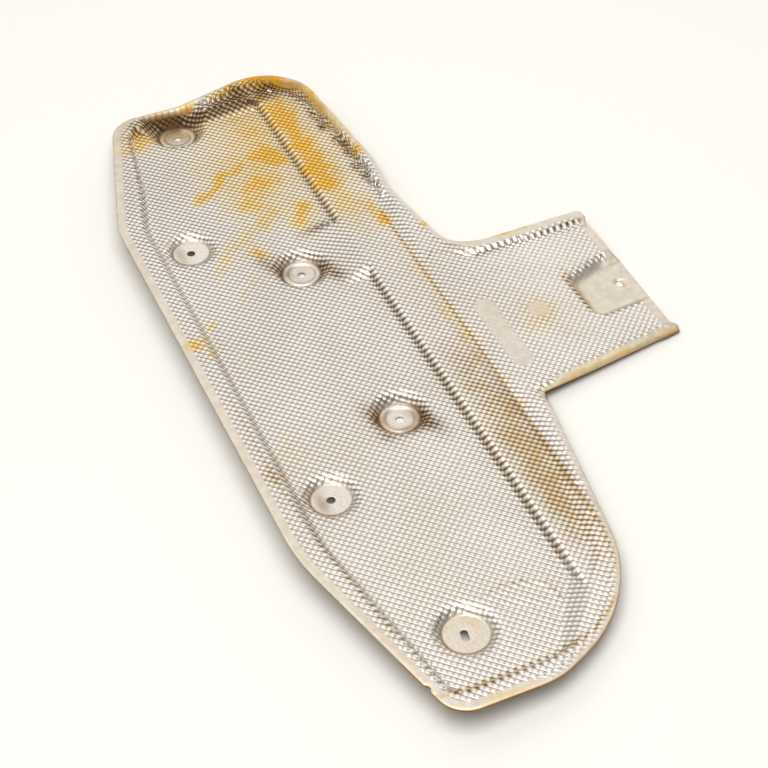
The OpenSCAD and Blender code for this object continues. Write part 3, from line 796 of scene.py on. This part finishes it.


# The finish: rolled aluminium, with a painted highlight on the crests and painted shade in the
# grooves between them. The film, the dirt and more painted shade lie on it, thickest in the grooves.
class Link:
    """An output in a material; sums and products of it add the nodes they need."""

    # Sockets of a colour mix, and the two outputs of an attribute that are read.
    MIX_AMOUNT, MIX_A, MIX_B, MIX_COLOUR = 0, 6, 7, 2
    VECTOR, FACTOR = 1, 2

    def __init__(self, tree, socket=None):
        self.tree, self.socket = tree, socket

    def node(self, kind, settings=None, inputs=None, output=0):
        made = self.tree.nodes.new(kind)
        for key, value in (settings or {}).items():
            setattr(made, key, value)
        for key, value in (inputs or {}).items():
            if isinstance(value, Link):
                self.tree.links.new(value.socket, made.inputs[key])
            else:
                made.inputs[key].default_value = value
        return Link(self.tree, made.outputs[output] if made.outputs else None)

    def math(self, operation, a, b=0.0, clamp=False):
        return self.node("ShaderNodeMath", {"operation": operation, "use_clamp": clamp}, {0: a, 1: b})

    def __add__(self, other):
        return self.math("ADD", self, other)

    def __sub__(self, other):
        return self.math("SUBTRACT", self, other)

    def __rsub__(self, other):
        return self.math("SUBTRACT", other, self)

    def __mul__(self, other):
        return self.math("MULTIPLY", self, other)

    __radd__, __rmul__ = __add__, __mul__

    def clamped(self):
        return self.math("ADD", self, 0.0, True)

    def ramp(self, from_value, to_value):
        """0 up to from_value, 1 past to_value and smooth between them."""
        return self.node("ShaderNodeMapRange", {"interpolation_type": "SMOOTHSTEP"},
                         {0: self, 1: from_value, 2: to_value})

    def mixed(self, a, b, blend="MIX"):
        """Colour a where this is 0 and b where it is 1."""
        return self.node("ShaderNodeMix", {"data_type": "RGBA", "blend_type": blend},
                         {self.MIX_AMOUNT: self, self.MIX_A: a, self.MIX_B: b}, self.MIX_COLOUR)

    def tinting(self, a, b):
        """Colour a, multiplied by b where this is 1."""
        return self.mixed(a, b, "MULTIPLY")

    def noise(self, scale, detail, roughness):
        return self.node("ShaderNodeTexNoise", None, {
            "Vector": self, "Scale": scale, "Detail": detail, "Roughness": roughness,
            "Distortion": 0.0})

    def part(self, index):
        return self.node("ShaderNodeSeparateXYZ", None, {0: self}, index)

    def layer(self, name, output=FACTOR):
        return self.node("ShaderNodeAttribute", {"attribute_name": name}, None, output)


# Colours of the bare metal with its painted crest highlight and painted groove shade, of the
# film, of the dirt with painted shade, and of the painted shade, and heights of the fine relief in
# metres.
DULL_A, DULL_B = (0.67, 0.59, 0.485, 1), (0.78, 0.70, 0.60, 1)
SHINY_A, SHINY_B = (0.70, 0.64, 0.56, 1), (0.86, 0.805, 0.73, 1)
BARE_A, BARE_B, CREST_HIGHLIGHT = (0.71, 0.655, 0.585, 1), (0.78, 0.735, 0.68, 1), (0.98, 0.95, 0.91, 1)
GROOVE_SHADE = (0.24, 0.185, 0.135, 1)
YELLOW_FILM, ORANGE_FILM = (1.0, 0.78, 0.06, 1), (0.96, 0.53, 0.01, 1)
CREST_FILM, THICK_FILM = (1.0, 0.82, 0.13, 1), (0.46, 0.22, 0.015, 1)
DIRT_AND_SHADE_TINT, THICK_DIRT_AND_SHADE = (0.86, 0.69, 0.42, 1), (0.13, 0.075, 0.025, 1)
SHADE_TINT, DEEP_SHADE = (0.66, 0.48, 0.32, 1), (0.045, 0.026, 0.012, 1)
CREST_RISE, WALL_CREST_RISE, GROOVE_DEPTH = 0.00012, 0.0003, 0.00018
MEDIUM_RISE, FINE_RISE = 0.00006, 0.00002

metal = bpy.data.materials.new("embossed_aluminium")
metal.use_nodes = True
metal.node_tree.nodes.clear()
maker = Link(metal.node_tree)
place = maker.node("ShaderNodeTexCoord", None, None, "Object")
cells = maker.layer("lattice", Link.VECTOR)
row_place, column_place = cells.part(0), cells.part(1)
marked, polished, on_wall = maker.layer("pattern"), maker.layer("polish"), maker.layer("wall")
fine = place.noise(900.0, 3.0, 0.6)
medium = place.noise(160.0, 4.0, 0.6)
broad = place.noise(14.0, 3.0, 0.55)

row_wave = maker.math("COSINE", row_place * (2 * math.pi))
column_wave = maker.math("COSINE", column_place * (2 * math.pi))
dot = (row_wave * 0.62 + column_wave * 0.38) * marked
row_gap = maker.math("ABSOLUTE", maker.math("SINE", row_place * math.pi)).ramp(0.80, 1.0)
column_gap = maker.math("ABSOLUTE", maker.math("SINE", column_place * math.pi)).ramp(0.86, 1.0)
groove = maker.math("MAXIMUM", row_gap, column_gap * 0.45) * marked
pit = dot.ramp(0.1, -0.8) * marked
hollow = (groove * 0.55 + pit * 0.75).clamped()

film = (maker.layer("rust") * (0.75 + pit * 0.5) * (0.62 + medium * 0.85)).clamped()
# Amounts of the dirt mixed with painted shade, and of the painted shade.
dirty_and_shaded = (maker.layer("dirt_and_shade") * (0.7 + pit * 0.7) * (0.6 + medium * 0.8)).ramp(0.0, 1.1)
shaded = (maker.layer("painted_shade") * (0.6 + medium * 0.8)).clamped()

dull = medium.ramp(0.3, 0.7).mixed(DULL_A, DULL_B)
shiny = fine.ramp(0.35, 0.65).mixed(SHINY_A, SHINY_B)
bare = broad.ramp(0.35, 0.68).mixed(BARE_A, BARE_B)
# Painted highlight: the crests of the bumps are lighter.
bare = dot.ramp(0.25, 0.95).mixed(bare, CREST_HIGHLIGHT)
bare = marked.mixed(polished.mixed(dull, shiny), bare)
# Painted shade in the grooves and pits, fainter at the lower end and on the tab.
fainter_groove_shade = maker.math("MAXIMUM", place.part(1).ramp(0.05, -0.22), place.part(0).ramp(0.09, 0.16))
bare = ((groove * 0.58 + pit * 0.34) * (1.0 - fainter_groove_shade * 0.28)).clamped().mixed(bare, GROOVE_SHADE)

tint = (film + medium * 0.5).ramp(0.45, 1.25).mixed(YELLOW_FILM, ORANGE_FILM)
tint = (dot.ramp(0.2, 0.9) * 0.8).mixed(tint, CREST_FILM)
colour = film.tinting(bare, tint)
colour = (film * (0.05 + hollow * 0.55)).clamped().mixed(colour, THICK_FILM)
# The dirt with painted shade, then the painted shade, each darkest in the hollows.
colour = dirty_and_shaded.tinting(colour, DIRT_AND_SHADE_TINT)
colour = (dirty_and_shaded * (0.08 + hollow * 0.65)).clamped().mixed(colour, THICK_DIRT_AND_SHADE)
colour = shaded.tinting(colour, SHADE_TINT)
colour = (shaded * (0.62 + hollow * 0.38 - dot * 0.55)).clamped().mixed(colour, DEEP_SHADE)
metallic = (1.0 - film * 0.8 - dirty_and_shaded * 0.3 - shaded * 0.4).clamped()
rough = (0.40 - marked * 0.12 - polished * 0.06 + medium * 0.12 + film * 0.1 + dirty_and_shaded * 0.15
         + shaded * 0.2 + on_wall * 0.10).clamped()
relief = (dot * (CREST_RISE + on_wall * WALL_CREST_RISE) - groove * GROOVE_DEPTH
          + medium * MEDIUM_RISE + fine * FINE_RISE)
bumps = maker.node("ShaderNodeBump", None, {"Height": relief, "Distance": 1.0, "Strength": 1.0})
shader = maker.node("ShaderNodeBsdfPrincipled", None, {
    "Base Color": colour, "Metallic": metallic, "Roughness": rough, "Normal": bumps})
maker.node("ShaderNodeOutputMaterial", None, {"Surface": shader})
mesh.materials.append(metal)


# The floor: a plain pale studio sheet that runs out of view on all sides.
# It keeps the heat shield's shadow.
FLOOR_HALF, PALE, PALE_ROUGHNESS = 4.0, (0.87, 0.85, 0.795, 1), 0.9
floor_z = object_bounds()[0][2]
corner_signs = ((-1, -1), (1, -1), (1, 1), (-1, 1))
floor_corners = [(x * FLOOR_HALF, y * FLOOR_HALF, floor_z) for x, y in corner_signs]
floor_mesh = bpy.data.meshes.new("floor")
floor_mesh.from_pydata(floor_corners, [], [(0, 1, 2, 3)])
floor = bpy.data.objects.new("floor", floor_mesh)
bpy.context.scene.collection.objects.link(floor)
pale = bpy.data.materials.new("pale_floor")
pale.use_nodes = True
paint = pale.node_tree.nodes["Principled BSDF"]
paint.inputs["Base Color"].default_value = PALE
paint.inputs["Roughness"].default_value = PALE_ROUGHNESS
floor_mesh.materials.append(pale)

# The light: a large soft box overhead, a wide one at the back that the level parts mirror, a
# small one at the right for the walls that face it, and a plain pale surround.
SURROUND, SURROUND_STRENGTH = (1.0, 0.985, 0.955, 1), 0.28
AIM = Vector((0.04, 0.08, 0))
world = bpy.data.worlds.new("surround")
bpy.context.scene.world = world
world.use_nodes = True
world.node_tree.nodes["Background"].inputs["Color"].default_value = SURROUND
world.node_tree.nodes["Background"].inputs["Strength"].default_value = SURROUND_STRENGTH


def soft_box(name, place, wide, long, watts):
    lamp = bpy.data.lights.new(name, "AREA")
    lamp.shape = "RECTANGLE"
    lamp.size, lamp.size_y = wide, long
    lamp.energy = watts
    box = bpy.data.objects.new(name, lamp)
    box.location = place
    box.rotation_euler = (Vector(place) - AIM).to_track_quat("Z", "Y").to_euler()
    bpy.context.scene.collection.objects.link(box)


soft_box("overhead", (-0.16, -0.36, 1.9), 1.9, 1.9, 37.5)
soft_box("back", (-0.10, 1.8, 1.5), 4.6, 1.8, 22)
soft_box("low_right", (1.75, 1.3, 0.55), 2.0, 0.8, 5.5)

# The camera: at the photograph's viewing angle, from the front left and above.
# Its place is in metres and its directions are given before the sheet's lean is added.
EYE = Vector((-0.3772, -0.8777, 0.9448))
FORWARD = Vector((0.2788, 0.6686, -0.6897))
UP = Vector((0.2902, 0.6262, 0.7239))
LENS, SENSOR = 90.23, 36
lean = Matrix.Rotation(LEAN, 3, "Y")
right = FORWARD.cross(UP).normalized()
up = right.cross(FORWARD).normalized()
view = Matrix((lean @ right, lean @ up, -(lean @ FORWARD).normalized())).transposed()
camera_data = bpy.data.cameras.new("camera")
camera_data.lens = LENS
camera_data.sensor_width = SENSOR
camera = bpy.data.objects.new("camera", camera_data)
camera.matrix_world = Matrix.Translation(lean @ EYE) @ view.to_4x4()
bpy.context.scene.collection.objects.link(camera)
bpy.context.scene.camera = camera
bpy.context.scene.view_settings.view_transform = "Standard"
